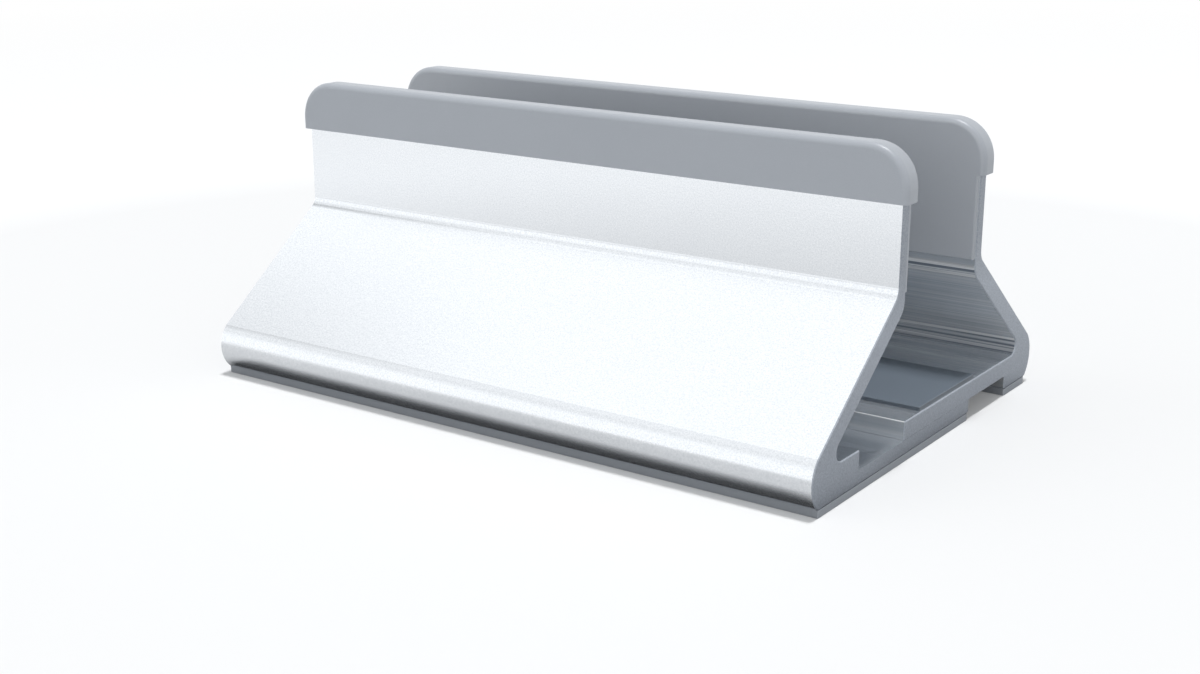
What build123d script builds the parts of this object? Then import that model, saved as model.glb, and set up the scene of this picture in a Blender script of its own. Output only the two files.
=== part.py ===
from build123d import *
from math import cos, radians, sin, sqrt, tan
import os

os.makedirs("parts", exist_ok=True)

# Frame: X along the stand, Y from front to rear, Z up.
# The origin is on the ground, below the middle of the slot.
# A distance from the slot's middle plane is positive outwards, on both sides.

# The stand as a whole, at rest
stand_length = 181.7
slot_width = 36.6
reach = 61.4
wall_top = 74.5

# How far the rear half slides towards and away from the front half
closing_travel = 22.8
opening_travel = 3.0
stop_gap = 0.3
sliding_gap = 0.03

# Section of the two extrusions
wall_thickness = 3.3
slope_angle = radians(38.0)
slope_thickness = 5.15
outer_bend_radius = 3.6
inner_bend_radius = 4.7
nose_radius = 8.05
nose_height = 7.98
nose_crease_angle = radians(7.0)
foot_height = 1.8
lower_plate_thickness = 3.6
upper_plate_thickness = 4.6
inner_corner_radius = 2.5
shelf_setback = 22.0
leg_setback = 17.0
plate_edge_radius = 0.3
wall_corner_radius = 8.5
end_chamfer = 0.25

# Silicone liners and pads
sleeve_thickness = 1.5
sleeve_lip_depth = 13.2
sleeve_edge_radius = 1.45
liner_setback = 0.35
liner_edge_radius = 0.3
base_pad_thickness = 1.0
base_pad_front = -7.4
base_pad_width = 32.0
base_pad_setback = 0.55
base_pad_edge_radius = 0.25
pad_corner_radius = 0.3
front_pad_inset = 0.1
plate_pad_inset = 0.65
leg_pad_inset = 0.05
rear_pad_inset = 0.5

# Clamp screws with button heads, and their washers
screw_radius = 2.0
screw_length = 6.0
screw_head_radius = 3.8
screw_head_height = 2.2
screw_head_flat_radius = 1.9
screw_head_rim = 0.3
screw_dome_bulge = 0.35
screw_tip_chamfer = 0.3
hex_key_size = 2.5
hex_socket_depth = 1.3
thread_clearance = 0.05
screw_inset = 30.0
screw_edge_distance = 15.3
washer_outer_radius = 4.5
washer_inner_radius = 2.15
washer_thickness = 0.8
slot_clearance = 0.3
slot_lip_thickness = 1.9
recess_clearance = 0.5
pad_opening_clearance = 0.6

# Sizes that follow from those above
half_length = stand_length / 2
wall_inside = slot_width / 2 + sleeve_thickness
wall_outside = wall_inside + wall_thickness
lower_plate_top = foot_height + lower_plate_thickness
upper_plate_bottom = lower_plate_top + sliding_gap
plate_top = upper_plate_bottom + upper_plate_thickness
shelf_edge = reach - shelf_setback
leg_inside = reach - leg_setback
upper_plate_front = shelf_edge - stop_gap - closing_travel
lower_plate_rear = leg_inside - stop_gap - closing_travel

# The slope's outer line runs up from the crease, where it leaves the nose's arc, to the bend
nose_centre = reach - nose_radius
nose_apart = nose_radius * cos(nose_crease_angle)
nose_run = nose_radius * sin(nose_crease_angle)
bend_height = nose_height + ((nose_centre - wall_outside) * sin(slope_angle) + nose_apart) / cos(slope_angle)
crease_out = nose_centre + nose_apart * sin(slope_angle) + nose_run * cos(slope_angle)
crease_height = nose_height + nose_apart * cos(slope_angle) - nose_run * sin(slope_angle)
nose_foot = nose_centre + sqrt(nose_radius**2 - (nose_height - foot_height) ** 2)

# The slope's inner line is parallel to the outer one, one slope thickness away
slope_drop = slope_thickness / cos(slope_angle)
inner_bend_height = bend_height + wall_thickness * tan(slope_angle) - slope_drop
inner_corner = wall_inside + (inner_bend_height - plate_top) / tan(slope_angle)

# The sleeve's cap stands one thickness above and outside its wall
sleeve_top = wall_top + sleeve_thickness
sleeve_lip = sleeve_top - sleeve_lip_depth
cap_thickness = wall_thickness + 2 * sleeve_thickness
liner_bottom = bend_height
liner_length = stand_length - 2 * liner_setback
base_pad_length = stand_length - 2 * base_pad_setback

# Heights of the clamp's stack, from the slot's lip down
lip_height = lower_plate_top - slot_lip_thickness
washer_top = lip_height - sliding_gap
washer_bottom = washer_top - washer_thickness
head_top = washer_bottom - sliding_gap
head_bottom = head_top - screw_head_height

# The clamp screws keep their distance from the lower plate's rear edge, and its slots let them
# follow the whole slide
screw_x = half_length - screw_inset
screw_y = lower_plate_rear - screw_edge_distance
screw_places = [(-screw_x, screw_y), (screw_x, screw_y)]
slot_run = closing_travel + opening_travel + 2 * slot_clearance
slot_middle = screw_y + (opening_travel - closing_travel) / 2
slot_half_width = screw_radius + slot_clearance
recess_half_width = washer_outer_radius + recess_clearance
slot_places = [(x, slot_middle) for x, y in screw_places]


def near(shapes, place):
    """The one of these vertices that is nearest to a place."""
    return shapes.sort_by_distance(place)[0]


def bracket_section(side, base, sharp_edges):
    """The section of one bracket: side is -1 in front and 1 behind, and base is the outline of
    its plate, from the nose's foot round to the inner corner, as distances and heights."""

    def at(out, height):
        return (side * out, height)

    wall_outer_top = at(wall_outside, wall_top)
    outer_bend = at(wall_outside, bend_height)
    crease = at(crease_out, crease_height)
    foot = at(nose_foot, foot_height)
    corner = at(inner_corner, plate_top)
    inner_bend = at(wall_inside, inner_bend_height)
    wall_inner_top = at(wall_inside, wall_top)
    base_points = [at(out, height) for out, height in base]
    with BuildSketch(Plane.YZ) as section:
        with BuildLine():
            Polyline(wall_outer_top, outer_bend, crease)
            ThreePointArc(crease, at(reach, nose_height), foot)
            Polyline(foot, *base_points, corner, inner_bend, wall_inner_top, wall_outer_top)
        make_face()
        fillet(near(section.vertices(), outer_bend), outer_bend_radius)
        fillet(near(section.vertices(), inner_bend), inner_bend_radius)
        fillet(near(section.vertices(), corner), inner_corner_radius)
        for out, height in sharp_edges:
            fillet(near(section.vertices(), at(out, height)), plate_edge_radius)
    return section.sketch


def sawn_edges(bracket, joint_height):
    """The edges of an extrusion's two end faces, except those along the joint of the plates."""
    faces = bracket.faces().sort_by(Axis.X)
    ends = ShapeList([faces[0], faces[-1]])
    return [edge for edge in ends.edges() if abs(edge.center().Z - joint_height) > sliding_gap / 2]


def upright_outline(forward, length, bottom, top, corner_radius):
    """An upright outline with round top corners, this far in front of the middle plane."""
    with BuildSketch(Plane.XZ.offset(forward)) as outline:
        with Locations((0, (bottom + top) / 2)):
            Rectangle(length, top - bottom)
        fillet(outline.vertices().group_by(Axis.Y)[-1], corner_radius)
    return outline.sketch


def clamp_slots(half_width, mode=Mode.ADD):
    """The two long clamp slots, drawn in the active sketch."""
    with Locations(*slot_places):
        SlotCenterToCenter(slot_run, 2 * half_width, rotation=90, mode=mode)


def pad_outline(length, front, rear):
    """A long pad between two places on Y, drawn in the active sketch."""
    with Locations((0, (front + rear) / 2)):
        RectangleRounded(length, rear - front, pad_corner_radius)


def clamp_screw(x, y):
    """A button-head screw that stands on its head, with a hexagon socket from below."""
    tip = head_top + screw_length
    dome_start = (screw_head_flat_radius, head_bottom)
    dome_end = (screw_head_radius, head_top - screw_head_rim)
    dome_middle = (
        (dome_start[0] + dome_end[0]) / 2 + screw_dome_bulge,
        (dome_start[1] + dome_end[1]) / 2 - screw_dome_bulge,
    )
    with BuildPart() as screw:
        with BuildSketch(Plane(origin=(x, y, 0), x_dir=(1, 0, 0), z_dir=(0, -1, 0))):
            with BuildLine():
                Line((0, head_bottom), dome_start)
                ThreePointArc(dome_start, dome_middle, dome_end)
                Polyline(
                    dome_end,
                    (screw_head_radius, head_top),
                    (screw_radius, head_top),
                    (screw_radius, tip - screw_tip_chamfer),
                    (screw_radius - screw_tip_chamfer, tip),
                    (0, tip),
                    (0, head_bottom),
                )
            make_face()
        revolve(axis=Axis((x, y, 0), (0, 0, 1)))
        with BuildSketch(Plane.XY.offset(head_bottom)):
            with Locations((x, y)):
                RegularPolygon(hex_key_size / 2, 6, major_radius=False)
        extrude(amount=hex_socket_depth, mode=Mode.SUBTRACT)
    return screw


def clamp_washer(x, y):
    """A plain washer between a screw's head and the slot's lip."""
    with BuildPart() as washer:
        with BuildSketch(Plane.XY.offset(washer_bottom)):
            with Locations((x, y)):
                Circle(washer_outer_radius)
                Circle(washer_inner_radius, mode=Mode.SUBTRACT)
        extrude(amount=washer_thickness)
    return washer


# The outline that rounds the top corners of both walls
bracket_outline = upright_outline(0, stand_length, 0, wall_top, wall_corner_radius)
bracket_depth = reach + end_chamfer

# Front bracket: wall, slope and nose, the corner block with its shelf, and the lower plate
front_base = [
    (-lower_plate_rear, foot_height),
    (-lower_plate_rear, lower_plate_top),
    (shelf_edge, lower_plate_top),
    (shelf_edge, plate_top),
]
front_edges = [front_base[0], front_base[3]]
with BuildPart() as front_bracket:
    extrude(bracket_section(-1, front_base, front_edges), amount=half_length, both=True)
    chamfer(sawn_edges(front_bracket, lower_plate_top), end_chamfer)
    extrude(bracket_outline, amount=bracket_depth, both=True, mode=Mode.INTERSECT)
    with BuildSketch(Plane.XY.offset(foot_height)):
        clamp_slots(recess_half_width)
    extrude(amount=lip_height - foot_height, mode=Mode.SUBTRACT)
    with BuildSketch(Plane.XY.offset(lip_height)):
        clamp_slots(slot_half_width)
    extrude(amount=slot_lip_thickness, mode=Mode.SUBTRACT)

# Rear bracket: the same wall, slope and nose, the rear leg, and the upper plate on the lower one
rear_base = [
    (leg_inside, foot_height),
    (leg_inside, upper_plate_bottom),
    (-upper_plate_front, upper_plate_bottom),
    (-upper_plate_front, plate_top),
]
rear_edges = [rear_base[0], rear_base[3]]
with BuildPart() as rear_bracket:
    extrude(bracket_section(1, rear_base, rear_edges), amount=half_length, both=True)
    chamfer(sawn_edges(rear_bracket, upper_plate_bottom), end_chamfer)
    extrude(bracket_outline, amount=bracket_depth, both=True, mode=Mode.INTERSECT)
    with Locations(*[(x, y, plate_top) for x, y in screw_places]):
        Hole(screw_radius + thread_clearance, depth=upper_plate_thickness)

# Wall sleeves: a long liner on the wall's inside, and a cap over its top and both ends
cap_outline = upright_outline(
    slot_width / 2,
    stand_length + 2 * sleeve_thickness,
    sleeve_lip,
    sleeve_top,
    wall_corner_radius + sleeve_thickness,
)
wall_space = upright_outline(wall_inside, stand_length, foot_height, wall_top, wall_corner_radius)
with BuildPart() as front_wall_sleeve:
    with BuildSketch(Plane.XY.offset(liner_bottom)):
        with Locations((0, -slot_width / 2 - sleeve_thickness / 2)):
            Rectangle(liner_length, sleeve_thickness)
    extrude(amount=sleeve_lip - liner_bottom + sleeve_thickness)
    liner_face = front_wall_sleeve.faces().sort_by(Axis.Y)[-1]
    fillet(liner_face.edges().sort_by(Axis.Z)[:-1], liner_edge_radius)
    extrude(cap_outline, amount=cap_thickness)
    cap_faces = front_wall_sleeve.faces().filter_by(Axis.Y).sort_by(Axis.Y)
    for cap_face in (cap_faces[0], cap_faces[-1]):
        rim = [edge for edge in cap_face.edges() if edge.center().Z > sleeve_lip + sleeve_thickness]
        fillet(rim, sleeve_edge_radius)
    extrude(wall_space, amount=wall_thickness, mode=Mode.SUBTRACT)
with BuildPart() as rear_wall_sleeve:
    mirror(front_wall_sleeve.part, about=Plane.XZ)

# Base pad: on the upper plate, so that the laptop stands on it at every width
with BuildPart() as base_pad:
    with BuildSketch(Plane.XY.offset(plate_top)):
        pad_outline(base_pad_length, base_pad_front, base_pad_front + base_pad_width)
    extrude(amount=base_pad_thickness)
    fillet(base_pad.faces().sort_by(Axis.Z)[-1].edges(), base_pad_edge_radius)

# Foot pads: under the lower plate, with an opening below each clamp slot, and under the rear leg
with BuildPart() as front_foot_pad:
    with BuildSketch():
        pad_outline(stand_length, front_pad_inset - nose_foot, lower_plate_rear - plate_pad_inset)
        clamp_slots(recess_half_width + pad_opening_clearance, mode=Mode.SUBTRACT)
    extrude(amount=foot_height)
with BuildPart() as rear_foot_pad:
    with BuildSketch():
        pad_outline(stand_length, leg_inside + leg_pad_inset, nose_foot - rear_pad_inset)
    extrude(amount=foot_height)

pieces = {
    "front_bracket": front_bracket,
    "rear_bracket": rear_bracket,
    "front_wall_sleeve": front_wall_sleeve,
    "rear_wall_sleeve": rear_wall_sleeve,
    "base_pad": base_pad,
    "front_foot_pad": front_foot_pad,
    "rear_foot_pad": rear_foot_pad,
}
for side, (x, y) in zip(("left", "right"), screw_places):
    pieces[side + "_clamp_screw"] = clamp_screw(x, y)
    pieces[side + "_clamp_washer"] = clamp_washer(x, y)

for name, piece in pieces.items():
    piece.part.label = name
    export_step(piece.part, "parts/" + name + ".step")
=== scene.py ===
from math import pi, radians

import bpy
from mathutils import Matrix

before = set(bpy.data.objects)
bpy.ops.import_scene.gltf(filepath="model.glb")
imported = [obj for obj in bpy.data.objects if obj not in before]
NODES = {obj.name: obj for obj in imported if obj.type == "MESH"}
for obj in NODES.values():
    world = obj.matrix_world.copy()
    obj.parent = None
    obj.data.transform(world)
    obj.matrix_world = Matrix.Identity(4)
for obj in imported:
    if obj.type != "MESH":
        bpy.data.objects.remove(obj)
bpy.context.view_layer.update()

BLACK = (0.0, 0.0, 0.0)
WHITE = (1.0, 1.0, 1.0)

# Masks run from nothing to full between two values, of a part of the normal or of a place in metres
END_FACE = 0.6, 0.7  # X of the normal, either way: the sawn and the cut ends
OUTER_FACE = 0.2, 0.3  # Y of the normal, away from the slot
BESIDE_SLOT = 0.018, 0.020  # metres in Y from the middle
PLATE_FACE = 0.85, 0.95  # Z of the normal
UPPER_WALL = 0.034, 0.048  # metres in Z
FLAT_FACE = 0.4, 0.9  # Z of the normal, either way
SLOT_FACE = -0.95, -0.75  # Y of the normal, away from the slot: full at the first value
# Faces that carry die lines and painted highlight lines, the slanting and rounded ones: (Z of the normal,
# share) stops
CURVED = [(-1, 0), (-0.80, 0), (-0.74, 1), (-0.08, 1), (-0.03, 0), (0.03, 0), (0.08, 1), (0.92, 1), (0.98, 0)]

# The part of a noise's range that a grain uses
GRAIN = 0.3, 0.7
LINES = 0.35, 0.65
FINE_LINES = 0.42, 0.58
PATCHES = 0.4, 0.7

# Aluminium: where a name holds two colours, they are the dark and the light end of a grain
OUTSIDE = (0.77, 0.795, 0.825), (0.95, 0.965, 0.985)
OUTSIDE_CLOUD = (0.82, 0.84, 0.87)
INSIDE = (0.76, 0.805, 0.85), (0.97, 0.985, 1.0)
INSIDE_BLAST = (0.80, 0.83, 0.865)
# Die lines: the dark end is their grain, and the white end paints highlight lines
DIE_LINES_AND_HIGHLIGHTS = (0.22, 0.25, 0.29), WHITE
# Painted shade: a darker, bluer tone on the upward faces inside
PLATE_TOP_SHADE = (0.64, 0.68, 0.73)
SAWN_END = (0.31, 0.335, 0.378), (0.437, 0.468, 0.515)
CLOUD_SHARE = 0.15
BLAST_SHARE = 0.4
PLATE_SHADE_SHARE = 0.6  # share of the painted shade on the plates' tops inside
PLATE_POLISH = 0.6  # against 1 outside and 0 inside
PAINTED_WALL_SHADE = 0.22  # painted shade: how much darker the sawn end is painted up the wall
OUTSIDE_ROUGH = 0.095, 0.12
INSIDE_ROUGH = 0.12, 0.06
SAWN_ROUGH = 0.5
METAL = 0.68, 0.9  # inside and outside
# Less metal on the curved faces inside, so the white lines show as painted highlights
LINE_AND_HIGHLIGHT_METAL_LOSS = 0.3

# Silicone: the dark and the light end of its grain, and its stains
SILICONE = (0.342, 0.363, 0.397), (0.372, 0.394, 0.428), (0.315, 0.333, 0.367)
STAIN_SHARE = 0.12
# Painted shade: the base pad's silicone is made darker and bluer, as shade deep in the slot
PAD_SHADE_TINT = (0.36, 0.41, 0.455)
# Painted light on the sleeves' faces towards the slot
LINER_LIGHT_TONE = (0.62, 0.64, 0.67)
SILICONE_ROUGH = 0.36, 0.44

STEEL = (0.50, 0.51, 0.53), (0.60, 0.61, 0.63)
STEEL_ROUGH = 0.28, 0.38

# Floor: its levels are shares of its own colour, and its distances are metres from the middle
FLOOR = (0.86, 0.865, 0.87)
FLOOR_SHADE = (0, 0.002, 0.006)
FLOOR_SEEN = 0.93  # straight from the camera
CONTACT_REACH = 0.012
CONTACT = 0.60, 0.90  # the free share of the view upwards
CONTACT_LEVEL = 0.02
NEAR = 0.06, 0.33
NEAR_LEVEL = 0.56
FAR = 0.35, 1.2
NEAR_GLOW = 0.1  # share of the white background near the object, full far off

# World: (angle, level) stops over the angle round X, in degrees from the front horizon up
PANELS = [(0, 1.15), (28, 1.15), (32, 1.09), (38, 1.02), (43, 0.95), (47, 0.95), (52, 1.0), (66, 1.01),
          (70, 1.08), (74, 1.15)]
DARK_PLACE = [(50, 0), (66, 0.96), (74, 0.65), (82, 0.38), (85, 0.11), (88, 0)]
DARK_SIDE = -0.70, -0.60  # X of the direction: full at the first value
DARK_LEVEL = 0.45
SKY = [(0, 1.30), (35, 1.0), (65, 0.46), (90, 0.39)]
SKY_COLOUR = (0.965, 0.985, 1.0)
SEEN_LEVEL = 1.04  # brings the sky's colour up to white

# The camera was fitted to the edges in the photograph
CAMERA_PLACE = 0.24466, -0.35691, 0.13825
CAMERA_TILT, CAMERA_TURN = 73.652, 35.263


class Graph:
    """Adds nodes to an emptied node tree. An input takes an output, which is linked to it, or a number
    or a colour, which is set on it."""

    def __init__(self, tree):
        self.nodes, self.links = tree.nodes, tree.links
        self.nodes.clear()

    def add(self, kind, **settings):
        node = self.nodes.new(kind)
        for name, value in settings.items():
            setattr(node, name, value)
        return node

    def put(self, socket, value):
        if isinstance(value, bpy.types.NodeSocket):
            self.links.new(value, socket)
        elif isinstance(value, tuple):
            socket.default_value = (*value, 1)
        else:
            socket.default_value = value

    def math(self, operation, *values, clamp=False):
        node = self.add("ShaderNodeMath", operation=operation, use_clamp=clamp)
        for socket, value in zip(node.inputs, values):
            self.put(socket, value)
        return node.outputs[0]

    def ramp(self, value, start, stop, low=0, high=1):
        """A linear map of a value from start and stop to low and high, held at its two ends."""
        node = self.add("ShaderNodeMapRange", clamp=True)
        names = ("Value", "From Min", "From Max", "To Min", "To Max")
        for name, part in zip(names, (value, start, stop, low, high)):
            self.put(node.inputs[name], part)
        return node.outputs["Result"]

    def between(self, share, low, high):
        """A number between low and high, by a share from 0 to 1."""
        return self.ramp(share, 0, 1, low, high)

    def curve(self, value, stops):
        """A level that runs through these (position, level) stops, held at its two ends."""
        node = self.add("ShaderNodeValToRGB")
        elements = node.color_ramp.elements
        while len(elements) < len(stops):
            elements.new(1.0)
        for element, (position, level) in zip(elements, stops):
            element.position = position
            element.color = (level, level, level, 1)
        self.put(node.inputs["Fac"], value)
        return node.outputs["Color"]

    def mix(self, factor, a, b):
        """A mix of two numbers."""
        node = self.add("ShaderNodeMix")
        for index, value in ((0, factor), (2, a), (3, b)):
            self.put(node.inputs[index], value)
        return node.outputs[0]

    def mix_colour(self, factor, a, b):
        """A mix of two colours."""
        node = self.add("ShaderNodeMix", data_type="RGBA")
        for index, value in ((0, factor), (6, a), (7, b)):
            self.put(node.inputs[index], value)
        return node.outputs[2]

    def noise(self, at, scale, detail=2.0, along_x=None):
        """A noise in object space. A small along_x draws it out into lines along the extrusion."""
        if along_x:
            mapping = self.add("ShaderNodeMapping")
            mapping.inputs["Scale"].default_value = (along_x, 1, 1)
            self.put(mapping.inputs["Vector"], at)
            at = mapping.outputs["Vector"]
        node = self.add("ShaderNodeTexNoise")
        for name, value in (("Vector", at), ("Scale", scale), ("Detail", detail)):
            self.put(node.inputs[name], value)
        return node.outputs["Fac"]

    def split(self, vector):
        """The X, Y and Z outputs of a vector."""
        node = self.add("ShaderNodeSeparateXYZ")
        self.put(node.inputs[0], vector)
        return node.outputs

    def bump(self, height, strength, distance, normal=None):
        node = self.add("ShaderNodeBump")
        for name, value in (("Strength", strength), ("Distance", distance), ("Height", height)):
            self.put(node.inputs[name], value)
        if normal is not None:
            self.put(node.inputs["Normal"], normal)
        return node.outputs["Normal"]


def new_surface(name):
    """A material with a Principled shader: returns it, its graph, the shader's inputs, and the place and
    the normal in object space."""
    material = bpy.data.materials.new(name)
    material.use_nodes = True
    graph = Graph(material.node_tree)
    shader = graph.add("ShaderNodeBsdfPrincipled")
    graph.put(graph.add("ShaderNodeOutputMaterial").inputs["Surface"], shader.outputs[0])
    place = graph.add("ShaderNodeTexCoord").outputs
    return material, graph, shader.inputs, place["Object"], place["Normal"]


def away_from_slot(graph, facing, spot):
    """The Y of the normal, counted away from the slot on both halves."""
    return graph.math("MULTIPLY", facing["Y"], graph.math("SIGN", spot["Y"]))


def aluminium():
    """Fine bead-blasted and anodised aluminium: duller inside, with die lines and painted highlight lines,
    and on the sawn ends. Painted shade darkens its plates' tops inside and its sawn ends up the wall.
    """
    material, graph, shader, at, normal = new_surface("aluminium")
    facing, spot = graph.split(normal), graph.split(at)

    sawn = graph.ramp(graph.math("ABSOLUTE", facing["X"]), *END_FACE)
    beside_slot = graph.ramp(graph.math("ABSOLUTE", spot["Y"]), *BESIDE_SLOT)
    outside = graph.ramp(away_from_slot(graph, facing, spot), *OUTER_FACE)
    outside = graph.math("MULTIPLY", outside, beside_slot)
    upward = graph.math("MULTIPLY_ADD", facing["Z"], 0.5, 0.5)
    curved = graph.curve(upward, [((z + 1) / 2, share) for z, share in CURVED])
    plate = graph.ramp(facing["Z"], *PLATE_FACE)

    blast = graph.ramp(graph.noise(at, scale=2600, detail=3), *GRAIN)
    cloud = graph.ramp(graph.noise(at, scale=60), *LINES, 0, CLOUD_SHARE)
    streaks = graph.noise(at, scale=900, detail=3, along_x=0.02)
    lines = graph.ramp(graph.noise(at, scale=1500, detail=3, along_x=0.01), *LINES)
    fine_lines = graph.ramp(graph.noise(at, scale=1400, along_x=0.005), *FINE_LINES)

    outer = graph.mix_colour(cloud, graph.mix_colour(blast, *OUTSIDE), OUTSIDE_CLOUD)
    inner = graph.mix_colour(lines, *INSIDE)
    inner = graph.mix_colour(graph.between(blast, 0, BLAST_SHARE), inner, INSIDE_BLAST)
    # Die lines and painted highlight lines on the slanting and rounded faces inside
    inner = graph.mix_colour(curved, inner, graph.mix_colour(fine_lines, *DIE_LINES_AND_HIGHLIGHTS))
    # Painted shade on the plates' tops inside
    inner = graph.mix_colour(graph.between(plate, 0, PLATE_SHADE_SHARE), inner, PLATE_TOP_SHADE)
    end = graph.mix_colour(blast, *SAWN_END)
    # Painted shade on the sawn end up the wall
    end = graph.mix_colour(graph.ramp(spot["Z"], *UPPER_WALL, 0, PAINTED_WALL_SHADE), end, BLACK)
    face = graph.mix_colour(outside, inner, outer)
    graph.put(shader["Base Color"], graph.mix_colour(sawn, face, end))

    outer_rough = graph.ramp(streaks, *GRAIN, *OUTSIDE_ROUGH)
    rough = graph.mix(outside, graph.between(lines, *INSIDE_ROUGH), outer_rough)
    graph.put(shader["Roughness"], graph.mix(sawn, rough, SAWN_ROUGH))

    polish = graph.math("MAXIMUM", outside, sawn)
    polish = graph.math("MAXIMUM", polish, graph.math("MULTIPLY", plate, PLATE_POLISH))
    # Where the die lines and painted highlight lines lose some metal
    lines_and_highlights = graph.math("MULTIPLY", curved, graph.math("SUBTRACT", 1, polish))
    loss = graph.math("MULTIPLY", lines_and_highlights, LINE_AND_HIGHLIGHT_METAL_LOSS)
    graph.put(shader["Metallic"], graph.math("SUBTRACT", graph.between(polish, *METAL), loss))

    blasted = graph.bump(blast, strength=0.03, distance=0.00008)
    line_strength = graph.between(outside, 0.6, 0)
    graph.put(shader["Normal"], graph.bump(lines, line_strength, distance=0.00003, normal=blasted))
    return material


def silicone(name, tint=WHITE, side_shade=1.0, end_light=0.0, liner_light=0.0):
    """Matte grey silicone: tint darkens all of it, and the other arguments paint shade on its upright faces
    and light on its ends and on its faces towards the slot."""
    material, graph, shader, at, normal = new_surface(name)
    facing, spot = graph.split(normal), graph.split(at)
    dark, light, stain = (tuple(a * b for a, b in zip(tint, shade)) for shade in SILICONE)

    fine = graph.noise(at, scale=3000)
    stained = graph.ramp(graph.noise(at, scale=45), *PATCHES, 0, STAIN_SHARE)
    # Painted shade: the upright faces are darkened towards black
    upright = graph.ramp(graph.math("ABSOLUTE", facing["Z"]), *FLAT_FACE, 1 - side_shade, 0)
    # Painted light: the faces towards the slot are lightened
    slot_lit = graph.ramp(away_from_slot(graph, facing, spot), *SLOT_FACE, liner_light, 0)
    # Painted light: the ends are lightened
    cut = graph.ramp(graph.math("ABSOLUTE", facing["X"]), *END_FACE, 0, end_light)

    colour = graph.mix_colour(fine, dark, light)
    for share, tone in ((stained, stain), (upright, BLACK), (slot_lit, LINER_LIGHT_TONE), (cut, light)):
        colour = graph.mix_colour(share, colour, tone)
    graph.put(shader["Base Color"], colour)
    graph.put(shader["Roughness"], graph.ramp(fine, *GRAIN, *SILICONE_ROUGH))
    graph.put(shader["Normal"], graph.bump(fine, strength=0.05, distance=0.00005))
    return material


def steel():
    """Plated steel for the clamp screws and washers."""
    material, graph, shader, at, _ = new_surface("steel")
    fine = graph.noise(at, scale=2500, detail=3)
    graph.put(shader["Base Color"], graph.mix_colour(fine, *STEEL))
    graph.put(shader["Roughness"], graph.ramp(fine, *GRAIN, *STEEL_ROUGH))
    graph.put(shader["Metallic"], 1.0)
    return material


def floor_material():
    """A plain white floor that keeps the soft shadow and far off runs into the white background. Painted
    shade makes it darker near the object, as the object sees and mirrors it, and darkest at the contact in
    the mirror."""
    material = bpy.data.materials.new("floor")
    material.use_nodes = True
    graph = Graph(material.node_tree)
    path = graph.add("ShaderNodeLightPath").outputs
    place = graph.add("ShaderNodeTexCoord").outputs
    free = graph.add("ShaderNodeAmbientOcclusion", samples=12)
    graph.put(free.inputs["Distance"], CONTACT_REACH)
    length = graph.add("ShaderNodeVectorMath", operation="LENGTH")
    graph.put(length.inputs[0], place["Object"])
    distance = length.outputs["Value"]

    # Painted shade: darker near the object, and darkest at the contact for glossy rays
    contact = graph.ramp(free.outputs["AO"], *CONTACT, CONTACT_LEVEL, 1)
    contact = graph.math("MAXIMUM", contact, graph.math("SUBTRACT", 1, path["Is Glossy Ray"]))
    level = graph.math("MULTIPLY", graph.ramp(distance, *NEAR, NEAR_LEVEL, 1), contact)
    level = graph.math("MAXIMUM", level, graph.math("MULTIPLY", path["Is Camera Ray"], FLOOR_SEEN))
    diffuse = graph.add("ShaderNodeBsdfDiffuse")
    graph.put(diffuse.inputs["Color"], graph.mix_colour(level, FLOOR_SHADE, FLOOR))

    glow = graph.add("ShaderNodeEmission")
    graph.put(glow.inputs["Color"], WHITE)
    share = graph.math("MULTIPLY", path["Is Camera Ray"], graph.ramp(distance, *FAR, NEAR_GLOW, 1))
    surface = graph.add("ShaderNodeMixShader")
    for socket, value in zip(surface.inputs, (share, diffuse.outputs[0], glow.outputs[0])):
        graph.put(socket, value)
    graph.put(graph.add("ShaderNodeOutputMaterial").inputs["Surface"], surface.outputs[0])
    return material


FINISHES = [
    (aluminium(), ("front_bracket", "rear_bracket")),
    # Sleeves: painted light on their faces towards the slot
    (silicone("silicone", liner_light=0.2), ("front_wall_sleeve", "rear_wall_sleeve")),
    # Base pad: painted shade all over and on its upright faces
    (silicone("pad_silicone", PAD_SHADE_TINT, side_shade=0.7), ("base_pad",)),
    # Foot pads: painted shade on their upright faces and painted light on their ends
    (silicone("foot_silicone", side_shade=0.74, end_light=1.0), ("front_foot_pad", "rear_foot_pad")),
    (steel(), ("left_clamp_screw", "right_clamp_screw", "left_clamp_washer", "right_clamp_washer")),
]
for finish, names in FINISHES:
    for name in names:
        mesh = NODES[name].data
        mesh.materials.clear()
        mesh.materials.append(finish)

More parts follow.
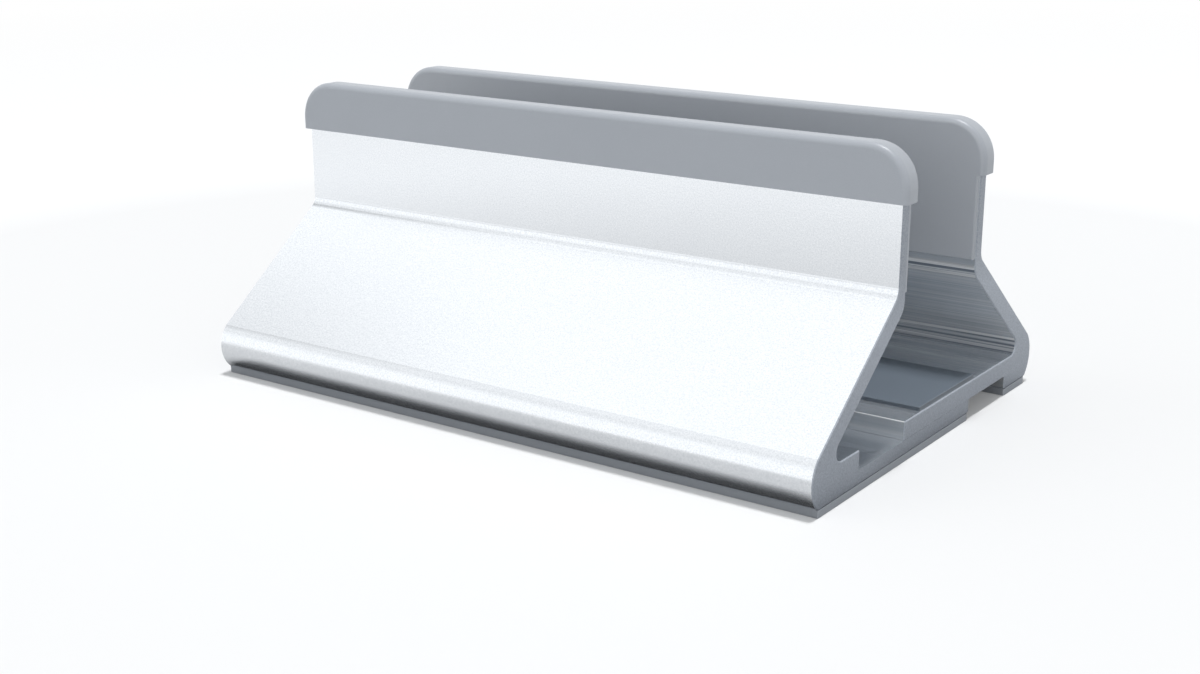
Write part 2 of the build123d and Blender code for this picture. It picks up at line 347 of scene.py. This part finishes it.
# Floor
bpy.ops.mesh.primitive_plane_add(size=10.0, location=(0, 0, -0.0001))
floor = bpy.context.object
floor.name = "floor"
floor.data.materials.append(floor_material())

# World: a white studio. The object mirrors long light and dim panels that run parallel to it, and a
# darker place far to the left
world = bpy.data.worlds.new("studio")
bpy.context.scene.world = world
world.use_nodes = True
graph = Graph(world.node_tree)
path = graph.add("ShaderNodeLightPath").outputs
toward = graph.split(graph.add("ShaderNodeTexCoord").outputs["Generated"])
turn = graph.math("ARCTAN2", toward["Z"], graph.math("MULTIPLY", toward["Y"], -1))
turn = graph.math("DIVIDE", turn, pi, clamp=True)
panels, dark, sky = (
    graph.curve(turn, [(angle / 180, level) for angle, level in stops])
    for stops in (PANELS, DARK_PLACE, SKY)
)
dark = graph.math("MULTIPLY", dark, graph.ramp(toward["X"], *DARK_SIDE, 1, 0))
mirrored = graph.math("MULTIPLY", panels, graph.between(dark, 1, DARK_LEVEL))
seen = graph.math("MAXIMUM", path["Is Camera Ray"], path["Is Glossy Ray"])
seen = graph.math("MAXIMUM", seen, path["Is Transmission Ray"])
lighting = graph.math("MAXIMUM", graph.math("MULTIPLY", seen, SEEN_LEVEL), sky)
background = graph.add("ShaderNodeBackground")
graph.put(background.inputs["Color"], SKY_COLOUR)
graph.put(background.inputs["Strength"], graph.mix(path["Is Glossy Ray"], lighting, mirrored))
graph.put(graph.add("ShaderNodeOutputWorld").inputs["Surface"], background.outputs[0])

# Key light: a long softbox overhead
key = bpy.data.lights.new("key", "AREA")
key.shape = "RECTANGLE"
key.size, key.size_y = 0.4, 0.7
key.energy = 112
lamp = bpy.data.objects.new("key", key)
lamp.location = (0.25, 0, 4.0)
lamp.rotation_euler = (0, radians(3.6), 0)
bpy.context.scene.collection.objects.link(lamp)

# Camera
data = bpy.data.cameras.new("camera")
data.lens = 50
data.sensor_width = 36
camera = bpy.data.objects.new("camera", data)
camera.location = CAMERA_PLACE
camera.rotation_euler = (radians(CAMERA_TILT), 0, radians(CAMERA_TURN))
bpy.context.scene.collection.objects.link(camera)
bpy.context.scene.camera = camera
bpy.context.scene.view_settings.view_transform = "Standard"
